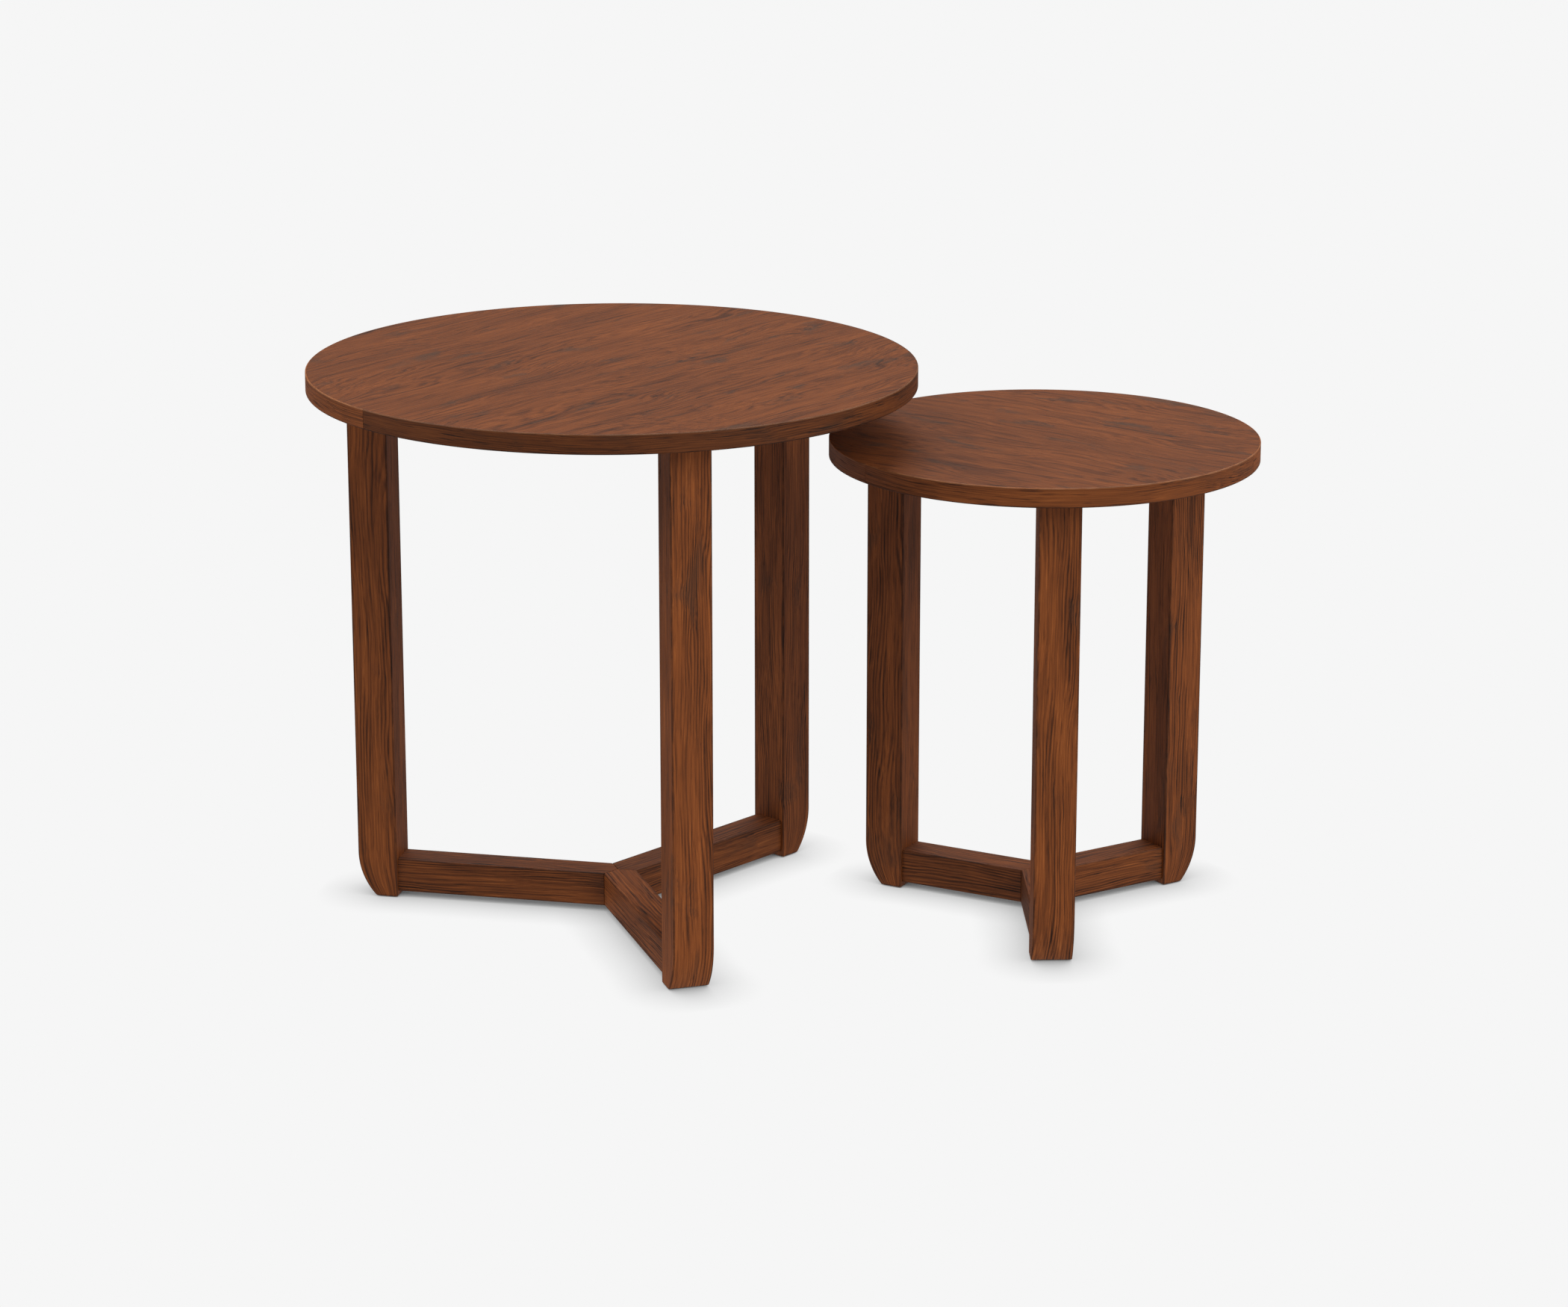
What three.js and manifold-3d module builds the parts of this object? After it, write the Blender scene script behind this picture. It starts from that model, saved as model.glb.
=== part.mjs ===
// A pair of round nesting tables in dark-stained wood.
//
// Each table is a round board with a thin edge band, on three square posts. Three
// low arms tie the posts together and meet in a mitred Y at the centre. The small
// table is lower, so that its top slides in under the edge of the large one.
//
// Millimetres, +Z up. The origin is on the floor, below the middle of the pair.
// +X runs from the large table's centre to the small table's centre.

import * as THREE from "three";
import { mergeVertices } from "three/addons/utils/BufferGeometryUtils.js";
import Module from "manifold-3d";

const wasm = await Module();
wasm.setup();

// ---------------------------------------------------------------- dimensions

// frontLegAngle: the direction of the front leg from the centre, in degrees from +X.
// bandSeams: where two strips of the rim's edge band butt together, in degrees.
const LARGE = {
  name: "large",
  radius: 280,
  height: 525,
  legOuterRadius: 250,
  frontLegAngle: -73,
  bandSeams: [-140, 40],
};
const SMALL = {
  name: "small",
  radius: 198.5,
  height: 456,
  legOuterRadius: 173,
  frontLegAngle: -89,
  bandSeams: [-148, -21.5, 95],
};
const CENTRE_DISTANCE = 397;

const GAP = 0.3; // between two pieces that touch
const OVERCUT = 1; // how far a cutter runs past the face it starts from
const SKIM = 0.01; // the same, where the hole flares at that face
const TOP_THICKNESS = 18;
const BAND_THICKNESS = 1.2;

const LEG_SIZE = 38; // square section
const LEG_CLEARANCE = 0.8; // the leg's end above the floor, on its glide
const TOE_RADIUS = 62; // the outer face curves in towards the floor
const TOE_INSET = 17.4;

const STRETCHER_WIDTH = 32;
const STRETCHER_TOP = 38;
const STRETCHER_BOTTOM = 6;

const TENON = { length: 36, height: 22, thickness: 10 }; // loose tenon
const DOWEL = { radius: 4, length: 28, inTop: 12, offset: 8 };
const BOLT = { woodRadius: 3.5, woodLength: 38, threadRadius: 4, threadLength: 11, offset: -7 };
const INSERT = { outerRadius: 6.5, innerRadius: 4.3, length: 12 };
const GLIDE = { radius: 8, thickness: 3 };
const HUB = { armLength: 58, armWidth: 20, thickness: 3, screwAt: 44 };
const SCREW = { headRadius: 3.8, headHeight: 2.2, shankRadius: 1.9, length: 22, tip: 5 };

const RIM_SEGMENTS = 96;
const ROUND_SEGMENTS = 12;
const TENON_SEGMENTS = 6;
const TOE_STEPS = 8;

const LEG_NAMES = ["front", "right", "left"]; // anticlockwise from the front leg
const ARM_STEP = 120;
const FULL_TURN = 360;

// ----------------------------------------------------------------- materials

const wood = (color) => new THREE.MeshStandardMaterial({ color, roughness: 0.55, metalness: 0 });
const metal = (color) => new THREE.MeshStandardMaterial({ color, roughness: 0.35, metalness: 1 });

const MATERIALS = {
  panel: wood(0x7d4f38),
  band: wood(0x5f3a26),
  leg: wood(0x633a25),
  stretcher: wood(0x6b4029),
  beech: wood(0xc8a06e),
  steel: metal(0xb9bcc0),
  brass: metal(0xc7a24b),
  nylon: new THREE.MeshStandardMaterial({ color: 0x2b211c, roughness: 0.7, metalness: 0 }),
};

// ------------------------------------------------------------ solid geometry

const radians = (degrees) => THREE.MathUtils.degToRad(degrees);

function toSolid(geometry) {
  const bare = geometry.clone();
  bare.deleteAttribute("normal");
  bare.deleteAttribute("uv");
  const merged = mergeVertices(bare);
  const vertProperties = new Float32Array(merged.attributes.position.array);
  const triVerts = new Uint32Array(merged.index.array);
  return new wasm.Manifold(new wasm.Mesh({ numProp: 3, vertProperties, triVerts }));
}

function toGeometry(solid) {
  const mesh = solid.getMesh();
  const geometry = new THREE.BufferGeometry();
  geometry.setAttribute("position", new THREE.BufferAttribute(mesh.vertProperties, 3));
  geometry.setIndex(new THREE.BufferAttribute(mesh.triVerts, 1));
  geometry.computeVertexNormals();
  return geometry;
}

function subtract(geometry, cutters) {
  let solid = toSolid(geometry);
  for (const cutter of cutters) {
    solid = solid.subtract(toSolid(cutter));
  }
  return toGeometry(solid);
}

const at = (geometry, x, y, z) => geometry.clone().translate(x, y, z);

// An outline in x and z, given a thickness along y that is centred on y = 0.
function slab(outline, thickness) {
  const geometry = new THREE.ExtrudeGeometry(new THREE.Shape(outline), {
    depth: thickness,
    bevelEnabled: false,
  });
  return geometry.rotateX(Math.PI / 2).translate(0, thickness / 2, 0);
}

// An outline in x and y, given a height along z from z = 0.
function plate(shape, height, curveSegments = ROUND_SEGMENTS) {
  return new THREE.ExtrudeGeometry(shape, { depth: height, bevelEnabled: false, curveSegments });
}

// A profile of [radius, z] points turned about the z axis.
function turned(profile, segments = ROUND_SEGMENTS) {
  const points = profile.map(([radius, z]) => new THREE.Vector2(radius, z));
  return new THREE.LatheGeometry(points, segments).rotateX(Math.PI / 2);
}

function rod(radius, z0, z1, segments = ROUND_SEGMENTS) {
  return turned([[0, z0], [radius, z0], [radius, z1], [0, z1]], segments);
}

// ---------------------------------------------------------- hardware, joinery

// A loose tenon lying along x, with half-round top and bottom edges.
function tenon(grow) {
  const radius = TENON.thickness / 2 + grow;
  const straight = (TENON.height - TENON.thickness) / 2;
  const shape = new THREE.Shape();
  shape.absarc(0, straight, radius, 0, Math.PI, false);
  shape.absarc(0, -straight, radius, Math.PI, 2 * Math.PI, false);
  const length = TENON.length + 2 * grow;
  const geometry = plate(shape, length, TENON_SEGMENTS).translate(0, 0, -length / 2);
  // the section's height becomes z, its thickness y, and the length lies along x
  return geometry.rotateX(Math.PI / 2).rotateZ(Math.PI / 2);
}

// A double-ended screw: a wood screw below z = 0 and a machine thread above it.
function legBolt(grow) {
  const { woodRadius, woodLength, threadRadius, threadLength } = BOLT;
  return turned([
    [0, -woodLength - grow],
    [woodRadius / 2 + grow, -woodLength - grow],
    [woodRadius + grow, -woodLength + woodRadius],
    [woodRadius + grow, 0],
    [threadRadius + grow, 0],
    [threadRadius + grow, threadLength + grow],
    [0, threadLength + grow],
  ]);
}

function threadedInsert() {
  const { outerRadius, innerRadius, length } = INSERT;
  return turned([
    [innerRadius, 0],
    [outerRadius, 0],
    [outerRadius, length],
    [innerRadius, length],
    [innerRadius, 0],
  ]);
}

// A countersunk screw driven upwards, with its head's face at z = 0.
function hubScrew(grow) {
  const { headRadius, headHeight, shankRadius, length, tip } = SCREW;
  return turned([
    [0, 0],
    [headRadius + grow, 0],
    [shankRadius + grow, headHeight],
    [shankRadius + grow, length - tip],
    [0, length + grow],
  ]);
}

// The three-armed steel plate that ties the stretchers together from below.
function hubOutline(grow) {
  const half = HUB.armWidth / 2 + grow;
  const reach = HUB.armLength + grow;
  const notch = half / Math.sin(radians(ARM_STEP / 2));
  const shape = new THREE.Shape();
  LEG_NAMES.forEach((_, arm) => {
    const direction = radians(arm * ARM_STEP);
    const along = new THREE.Vector2(Math.cos(direction), Math.sin(direction));
    const across = new THREE.Vector2(-along.y, along.x);
    for (const side of [-half, half]) {
      const corner = along.clone().multiplyScalar(reach).addScaledVector(across, side);
      if (arm === 0 && side < 0) {
        shape.moveTo(corner.x, corner.y);
      } else {
        shape.lineTo(corner.x, corner.y);
      }
    }
    const between = direction + radians(ARM_STEP / 2);
    shape.lineTo(notch * Math.cos(between), notch * Math.sin(between));
  });
  return shape;
}

function hubPlate() {
  const holes = LEG_NAMES.map((_, arm) => {
    const grown = at(hubScrew(GAP), HUB.screwAt, 0, -SKIM);
    return grown.rotateZ(radians(arm * ARM_STEP));
  });
  return subtract(plate(hubOutline(0), HUB.thickness), holes);
}

// --------------------------------------------------------------- table pieces

function topPanel(table) {
  const radius = table.radius - BAND_THICKNESS - GAP;
  const disc = rod(radius, 0, TOP_THICKNESS, RIM_SEGMENTS);
  const centre = table.legOuterRadius - LEG_SIZE / 2;
  const cutters = [];
  LEG_NAMES.forEach((_, arm) => {
    const turn = radians(table.frontLegAngle + arm * ARM_STEP);
    const insertHole = rod(INSERT.outerRadius + GAP, -OVERCUT, INSERT.length + GAP);
    const dowelHole = rod(DOWEL.radius + GAP, -OVERCUT, DOWEL.inTop + GAP);
    cutters.push(at(insertHole, centre + BOLT.offset, 0, 0).rotateZ(turn));
    cutters.push(at(dowelHole, centre + DOWEL.offset, 0, 0).rotateZ(turn));
  });
  return subtract(disc, cutters);
}

// One strip of the rim's edge band, between two seams.
function rimBand(table, from, to) {
  const margin = GAP / 2 / table.radius;
  const start = radians(from) + margin;
  const end = radians(to) - margin;
  const steps = Math.round((end - start) / (2 * Math.PI / RIM_SEGMENTS));
  const outline = [];
  for (let i = 0; i <= steps; i += 1) {
    const angle = start + (end - start) * i / steps;
    outline.push(new THREE.Vector2(Math.cos(angle), Math.sin(angle)));
  }
  const inner = table.radius - BAND_THICKNESS;
  const outer = outline.map((point) => point.clone().multiplyScalar(table.radius));
  const back = outline.map((point) => point.clone().multiplyScalar(inner)).reverse();
  return plate(new THREE.Shape([...outer, ...back]), TOP_THICKNESS);
}

// The leg stands in its arm's frame: x points outwards and y across.
function legOutline(inner, outer, top) {
  const toeHeight = Math.sqrt(TOE_RADIUS ** 2 - (TOE_RADIUS - TOE_INSET) ** 2);
  const outline = [new THREE.Vector2(inner, LEG_CLEARANCE)];
  for (let i = 0; i <= TOE_STEPS; i += 1) {
    const below = toeHeight * (1 - i / TOE_STEPS);
    const inset = TOE_RADIUS - Math.sqrt(TOE_RADIUS ** 2 - below ** 2);
    outline.push(new THREE.Vector2(outer - inset, LEG_CLEARANCE + toeHeight - below));
  }
  outline.push(new THREE.Vector2(outer, top), new THREE.Vector2(inner, top));
  return outline;
}

function leg(table) {
  const outer = table.legOuterRadius;
  const inner = outer - LEG_SIZE;
  const centre = outer - LEG_SIZE / 2;
  const top = table.height - TOP_THICKNESS - GAP;
  const glideHole = rod(GLIDE.radius + GAP, 0, GLIDE.thickness + GAP);
  const dowelHole = rod(DOWEL.radius + GAP, 0, DOWEL.length);
  return subtract(slab(legOutline(inner, outer, top), LEG_SIZE), [
    at(tenon(GAP), inner, 0, stretcherMiddle()),
    at(legBolt(GAP), centre + BOLT.offset, 0, top + GAP),
    at(dowelHole, centre + DOWEL.offset, 0, dowelBottom(table) - GAP),
    at(glideHole, glideCentre(table), 0, 0),
  ]);
}

const stretcherMiddle = () => (STRETCHER_TOP + STRETCHER_BOTTOM) / 2;
const dowelBottom = (table) => table.height - TOP_THICKNESS + DOWEL.inTop - DOWEL.length;
const glideCentre = (table) => table.legOuterRadius - LEG_SIZE + (LEG_SIZE - TOE_INSET) / 2;

// One arm of the base, pointed at the centre where the three arms are mitred.
function stretcher(table) {
  const half = STRETCHER_WIDTH / 2;
  const end = table.legOuterRadius - LEG_SIZE - GAP;
  const mitre = radians(ARM_STEP / 2);
  const tip = GAP / 2 / Math.sin(mitre);
  const shoulder = tip + half / Math.tan(mitre);
  const shape = new THREE.Shape();
  shape.moveTo(tip, 0);
  shape.lineTo(shoulder, -half);
  shape.lineTo(end, -half);
  shape.lineTo(end, half);
  shape.lineTo(shoulder, half);
  const blank = plate(shape, STRETCHER_TOP - STRETCHER_BOTTOM).translate(0, 0, STRETCHER_BOTTOM);
  const groove = plate(hubOutline(GAP), HUB.thickness + GAP + OVERCUT);
  return subtract(blank, [
    at(tenon(GAP), end + GAP, 0, stretcherMiddle()),
    at(groove, 0, 0, STRETCHER_BOTTOM - OVERCUT),
    at(hubScrew(GAP), HUB.screwAt, 0, STRETCHER_BOTTOM),
  ]);
}

// ------------------------------------------------------------------- assembly

function add(group, name, geometry, material, x = 0, z = 0) {
  const mesh = new THREE.Mesh(geometry, material);
  mesh.name = name;
  mesh.position.set(x, 0, z);
  group.add(mesh);
}

// Everything on one of the base's three arms, in the arm's own frame.
function buildArm(table, name) {
  const arm = new THREE.Group();
  const inner = table.legOuterRadius - LEG_SIZE;
  const centre = table.legOuterRadius - LEG_SIZE / 2;
  const underside = table.height - TOP_THICKNESS;
  const dowelMiddle = dowelBottom(table) + DOWEL.length / 2;
  const dowel = rod(DOWEL.radius, -DOWEL.length / 2 + GAP, DOWEL.length / 2);
  const boltAt = centre + BOLT.offset;
  const glide = rod(GLIDE.radius, 0, GLIDE.thickness);
  const prefix = `${table.name}_${name}`;
  add(arm, `${prefix}_leg`, leg(table), MATERIALS.leg);
  add(arm, `${prefix}_stretcher`, stretcher(table), MATERIALS.stretcher);
  add(arm, `${prefix}_tenon`, tenon(0), MATERIALS.beech, inner, stretcherMiddle());
  add(arm, `${prefix}_dowel`, dowel, MATERIALS.beech, centre + DOWEL.offset, dowelMiddle);
  add(arm, `${prefix}_bolt`, legBolt(0), MATERIALS.steel, boltAt, underside);
  add(arm, `${prefix}_insert`, threadedInsert(), MATERIALS.brass, boltAt, underside);
  add(arm, `${prefix}_hub_screw`, hubScrew(0), MATERIALS.steel, HUB.screwAt, STRETCHER_BOTTOM);
  add(arm, `${prefix}_glide`, glide, MATERIALS.nylon, glideCentre(table));
  return arm;
}

function buildTable(table) {
  const group = new THREE.Group();
  const underside = table.height - TOP_THICKNESS;
  add(group, `${table.name}_top_panel`, topPanel(table), MATERIALS.panel, 0, underside);
  const seams = [...table.bandSeams, table.bandSeams[0] + FULL_TURN];
  table.bandSeams.forEach((seam, i) => {
    const band = rimBand(table, seam, seams[i + 1]);
    add(group, `${table.name}_rim_band_${i + 1}`, band, MATERIALS.band, 0, underside);
  });
  const base = new THREE.Group();
  base.rotation.z = radians(table.frontLegAngle);
  add(base, `${table.name}_hub_plate`, hubPlate(), MATERIALS.steel, 0, STRETCHER_BOTTOM);
  LEG_NAMES.forEach((name, i) => {
    const arm = buildArm(table, name);
    arm.rotation.z = radians(i * ARM_STEP);
    base.add(arm);
  });
  group.add(base);
  return group;
}

// The pair is centred over the origin along x.
const overallLength = LARGE.radius + CENTRE_DISTANCE + SMALL.radius;
const largeCentre = LARGE.radius - overallLength / 2;

const tables = new THREE.Group();
const largeTable = buildTable(LARGE);
const smallTable = buildTable(SMALL);
largeTable.position.x = largeCentre;
smallTable.position.x = largeCentre + CENTRE_DISTANCE;
tables.add(largeTable, smallTable);

export default tables;
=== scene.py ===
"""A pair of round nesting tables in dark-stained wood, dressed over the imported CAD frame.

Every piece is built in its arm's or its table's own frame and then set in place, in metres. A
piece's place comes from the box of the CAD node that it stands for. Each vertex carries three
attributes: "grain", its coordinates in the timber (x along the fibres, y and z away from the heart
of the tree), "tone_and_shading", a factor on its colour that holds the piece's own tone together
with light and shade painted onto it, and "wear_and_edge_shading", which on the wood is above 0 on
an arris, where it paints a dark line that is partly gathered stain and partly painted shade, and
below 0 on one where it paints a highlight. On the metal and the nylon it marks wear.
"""

import math

import bmesh
import bpy
import numpy as np
from mathutils import Matrix, Vector
from mathutils.kdtree import KDTree


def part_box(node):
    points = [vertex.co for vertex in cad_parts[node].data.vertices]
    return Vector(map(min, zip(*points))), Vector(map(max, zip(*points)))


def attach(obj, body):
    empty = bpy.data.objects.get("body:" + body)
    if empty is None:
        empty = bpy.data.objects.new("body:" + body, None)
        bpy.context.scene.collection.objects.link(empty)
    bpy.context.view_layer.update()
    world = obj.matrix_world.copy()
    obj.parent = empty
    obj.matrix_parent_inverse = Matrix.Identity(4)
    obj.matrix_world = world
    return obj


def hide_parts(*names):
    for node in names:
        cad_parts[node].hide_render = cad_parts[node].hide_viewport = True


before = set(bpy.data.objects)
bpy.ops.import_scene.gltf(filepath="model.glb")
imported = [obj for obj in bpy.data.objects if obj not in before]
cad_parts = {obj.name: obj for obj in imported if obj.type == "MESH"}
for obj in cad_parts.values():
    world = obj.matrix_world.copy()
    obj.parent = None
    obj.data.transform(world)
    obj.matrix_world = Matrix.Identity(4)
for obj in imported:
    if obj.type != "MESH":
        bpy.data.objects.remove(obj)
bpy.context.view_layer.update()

# ------------------------------------------------------------------ dimensions

TABLES = ("large", "small")
ARMS = ("front", "right", "left")
BODY = {"large": "large_table", "small": "small_table"}

BAND_THICKNESS = 0.0012
BAND_GAP = 0.0003  # between the CAD's board and its edge band
BAND_EASE = 0.0009  # radius of the band's outer arrises
GLUE_LINE = 0.00005  # between the visual board and its edge band
SEAM = 0.00006  # half the width of the line that shows where two pieces meet
LEG_SIZE = 0.038
TOE_RADIUS = 0.062
TOE_INSET = 0.0174
TENON_LENGTH, TENON_HEIGHT, TENON_THICKNESS = 0.036, 0.022, 0.010
DOWEL_RADIUS = 0.004
SCREW_AT = 0.044  # the hub screws' distance from the centre
HUB_ARM_HALF = 0.010
HUB_CORNER = 0.003  # radius of the hub plate's corners
HUB_GROOVE = 0.0032  # depth of its groove in the stretchers
HUB_GROOVE_REACH = 0.0582
BOLT_BACK = 0.007  # the bolt stands this far inside the leg's middle
DOWEL_OUT = 0.008  # and the dowel this far outside it
BOLT_RADIUS = 0.0035
BOLT_THREAD_RADIUS = 0.004
INSERT_RADIUS = 0.0065
TOP_HOLE_DEPTH = 0.012
SCREW_SHANK = 0.0019
SCREW_HOLE_DEPTH = 0.0223
GLIDE_RADIUS = 0.008
HOLE_GAP = 0.0003
SNUG_GAP = 0.0002
CHAMFER = 0.001  # at the ends of a tenon or a dowel
OVERCUT = 0.001  # how far a cutter runs past the face it starts from

EASE = 0.0011  # radius of an eased arris
SUPPORT = 0.0014  # width of the strip beside an arris that still shows its wear and its painted edge shading
ARC_STEPS = 4
ARC = [math.pi / 2 * i / ARC_STEPS for i in range(ARC_STEPS + 1)]
ROUND = 32
THREAD_ROUND = 20
RINGS_PER_TURN = 6  # of a thread
SLOT_STEPS = 8
TOE_STEPS = 20
FLUTES = 12
RIM_STEP = math.radians(1.5)
SHARP = math.radians(38)  # edges that turn more than this stay crisp
CUT_WEAR = 0.3  # the wear that a freshly cut edge is given
FADE = 0.004  # how far in from a rim or an end its wear and painted edge shading fade out
SIXTY = math.radians(60)

# --------------------------------------------------------------------- meshes


def section(u0, u1, v0, v1):
    """A rectangle with rounded corners, anticlockwise: rows of (u, v, wear and edge shading)."""
    corners = ((u1, v1, 0), (u0, v1, 90), (u0, v0, 180), (u1, v0, 270))
    rows = []
    for u, v, start in corners:
        a = math.radians(start)
        out = np.array([math.cos(a), math.sin(a)])
        along = np.array([-out[1], out[0]])
        inward = -out - along
        centre = np.array([u, v]) + inward * EASE
        rows.append((*(centre + out * EASE - along * SUPPORT), 0))
        for t in ARC:
            rows.append((*(centre + EASE * (out * math.cos(t) + along * math.sin(t))), 1))
        rows.append((*(centre + along * EASE - out * SUPPORT), 0))
    return np.array(rows)


def loft(rings, caps=True):
    """Quads between rings of equal length, and a face over each end. Returns points and faces."""
    n = len(rings[0])
    points = np.concatenate(rings)
    faces = []
    for k in range(len(rings) - 1):
        for i in range(n):
            j = (i + 1) % n
            a, b = k * n, (k + 1) * n
            faces.append((a + i, a + j, b + j, b + i))
    if caps:
        last = (len(rings) - 1) * n
        faces.append(tuple(reversed(range(n))))
        faces.append(tuple(last + i for i in range(n)))
    return points, faces


def revolve(profile, steps=ROUND, start=0.0, sweep=2 * math.pi):
    """Rows of (radius, z, wear and edge shading) turned about z. A profile that touches the axis
    closes there.
    """
    r, z, wear_and_edge_shading = np.asarray(profile, float).T
    whole = abs(sweep - 2 * math.pi) < 1e-9
    count = steps if whole else steps + 1
    rings = []
    for i in range(count):
        a = start + sweep * i / steps
        rings.append(np.stack([r * math.cos(a), r * math.sin(a), z, wear_and_edge_shading], 1))
    points = np.concatenate(rings)
    n = len(profile)
    faces = []
    for i in range(count if whole else count - 1):
        j = (i + 1) % count
        for k in range(n - 1):
            faces.append((i * n + k, j * n + k, j * n + k + 1, i * n + k + 1))
    return points, faces


def to_mesh(points, faces):
    """A clean closed mesh from (x, y, z, wear and edge shading) points: doubles merged and faces
    turned outwards.
    """
    mesh = bpy.data.meshes.new("part")
    mesh.from_pydata([tuple(p[:3]) for p in points], [], faces)
    wear_and_edge_shading = mesh.attributes.new("wear_and_edge_shading", "FLOAT", "POINT")
    wear_and_edge_shading.data.foreach_set("value", np.asarray(points)[:, 3].astype(np.float32))
    bm = bmesh.new()
    bm.from_mesh(mesh)
    bmesh.ops.remove_doubles(bm, verts=bm.verts, dist=1e-6)
    bmesh.ops.dissolve_degenerate(bm, edges=bm.edges, dist=1e-7)
    bmesh.ops.recalc_face_normals(bm, faces=bm.faces)
    bm.to_mesh(mesh)
    bm.free()
    return mesh


def cut(mesh, cutters):
    """The mesh less its cutters, with each vertex keeping its own wear and edge shading."""
    base = bpy.data.objects.new("cut_base", mesh)
    bpy.context.scene.collection.objects.link(base)
    tools = []
    for cutter in cutters:
        tool = bpy.data.objects.new("cut_tool", cutter)
        bpy.context.scene.collection.objects.link(tool)
        tools.append(tool)
        modifier = base.modifiers.new("cut", "BOOLEAN")
        modifier.operation = "DIFFERENCE"
        modifier.solver = "EXACT"
        modifier.object = tool
    graph = bpy.context.evaluated_depsgraph_get()
    made = bpy.data.meshes.new_from_object(base.evaluated_get(graph))
    for spent in [base, *tools]:
        bpy.data.objects.remove(spent)
    tree = KDTree(len(mesh.vertices))
    for i, v in enumerate(mesh.vertices):
        tree.insert(v.co, i)
    tree.balance()
    old = mesh.attributes["wear_and_edge_shading"]
    values = []
    for v in made.vertices:
        _, i, distance = tree.find(v.co)
        values.append(old.data[i].value if distance < 1e-5 else CUT_WEAR)
    if "wear_and_edge_shading" in made.attributes:
        made.attributes.remove(made.attributes["wear_and_edge_shading"])
    wear_and_edge_shading = made.attributes.new("wear_and_edge_shading", "FLOAT", "POINT")
    wear_and_edge_shading.data.foreach_set("value", np.array(values, np.float32))
    return made


def points_of(mesh):
    """The mesh's vertices as rows of (x, y, z)."""
    co = np.zeros(len(mesh.vertices) * 3, np.float32)
    mesh.vertices.foreach_get("co", co)
    return co.reshape(-1, 3).astype(float)


def finish_mesh(mesh, grain, tone_and_shading):
    """Stores the timber coordinates and the piece's tone with the light and shade painted onto it,
    and smooths the shading.
    """
    co = points_of(mesh)
    attribute = mesh.attributes.new("grain", "FLOAT_VECTOR", "POINT")
    attribute.data.foreach_set("vector", grain(co).astype(np.float32).ravel())
    attribute = mesh.attributes.new("tone_and_shading", "FLOAT", "POINT")
    attribute.data.foreach_set("value", np.full(len(co), tone_and_shading, np.float32))
    mesh.shade_smooth()


def place(mesh, turn=0.0, offset=(0, 0, 0)):
    """Turns the mesh about z and then shifts it."""
    mesh.transform(Matrix.Translation(Vector(offset)) @ Matrix.Rotation(turn, 4, "Z"))
    return mesh


def add_piece(name, mesh, material, table, nodes):
    """Links a finished mesh as a piece that rides on its table and stands for its CAD nodes."""
    mesh.name = name
    mesh.materials.clear()
    mesh.materials.append(material)
    mesh.set_sharp_from_angle(angle=SHARP)
    piece = bpy.data.objects.new(name, mesh)
    bpy.context.scene.collection.objects.link(piece)
    weighted = piece.modifiers.new("even_shading", "WEIGHTED_NORMAL")
    weighted.keep_sharp = True
    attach(piece, BODY[table])
    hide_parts(*nodes)


def level(ring, z, wear_and_edge_shading):
    """Rows of (x, y) raised to one height and given their wear and edge shading."""
    return np.column_stack([ring, np.full(len(ring), z), np.full(len(ring), wear_and_edge_shading)])


def circle(x, radius, steps):
    """Rows of (x, y) round a point on the x axis. radius may differ from row to row."""
    a = np.arange(steps) * 2 * math.pi / steps
    return np.stack([x + radius * np.cos(a), radius * np.sin(a)], 1)


def drill(x, radius, z0, z1):
    """A round bar along z used only to cut with."""
    ring = circle(x, radius, ROUND)
    return to_mesh(*loft([level(ring, z, 0) for z in (z0, z1)]))


# ----------------------------------------------------------------- table facts


def table_facts(table):
    """The sizes and places of one table, read from the boxes of its CAD nodes."""
    low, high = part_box(f"{table}_top_panel")
    centre = (low + high) / 2
    radius = (high.x - low.x) / 2 + BAND_THICKNESS + BAND_GAP
    arms = {}
    for arm in ARMS:
        leg_low, leg_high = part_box(f"{table}_{arm}_leg")
        out = (leg_low + leg_high) / 2 - centre
        out.z = 0
        arms[arm] = {
            "angle": math.atan2(out.y, out.x),
            "leg_centre": out.length,
            "leg_bottom": leg_low.z,
            "leg_top": leg_high.z,
        }
    arm_low, arm_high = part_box(f"{table}_front_stretcher")
    return {
        "name": table,
        "centre": Vector((centre.x, centre.y, 0)),
        "radius": radius,
        "panel": (low.z, high.z),
        "arms": arms,
        "stretcher": (arm_low.z, arm_high.z),
    }


# -------------------------------------------------------------- wooden shapes


def board(facts):
    """The round board inside its edge band."""
    z0, z1 = facts["panel"]
    radius = facts["radius"] - BAND_THICKNESS - GLUE_LINE
    ease = 0.0001
    profile = [
        (0, z0, 0),
        (radius - FADE, z0, 0),
        (radius - ease, z0, 0.5),
        (radius, z0 + ease, 0.5),
        (radius, z1 - ease, 0.5),
        (radius - ease, z1, 0.5),
        (radius - FADE, z1, 0),
        (0, z1, 0),
    ]
    return to_mesh(*revolve(profile, round(2 * math.pi / RIM_STEP)))


def round_under(radius, z, ease):
    """Rows of (radius, z, wear and edge shading) that turn from a lower face at z up into a side at
    radius.
    """
    middle = radius - ease
    return [(middle + ease * math.sin(t), z + ease - ease * math.cos(t), 1) for t in ARC]


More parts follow.
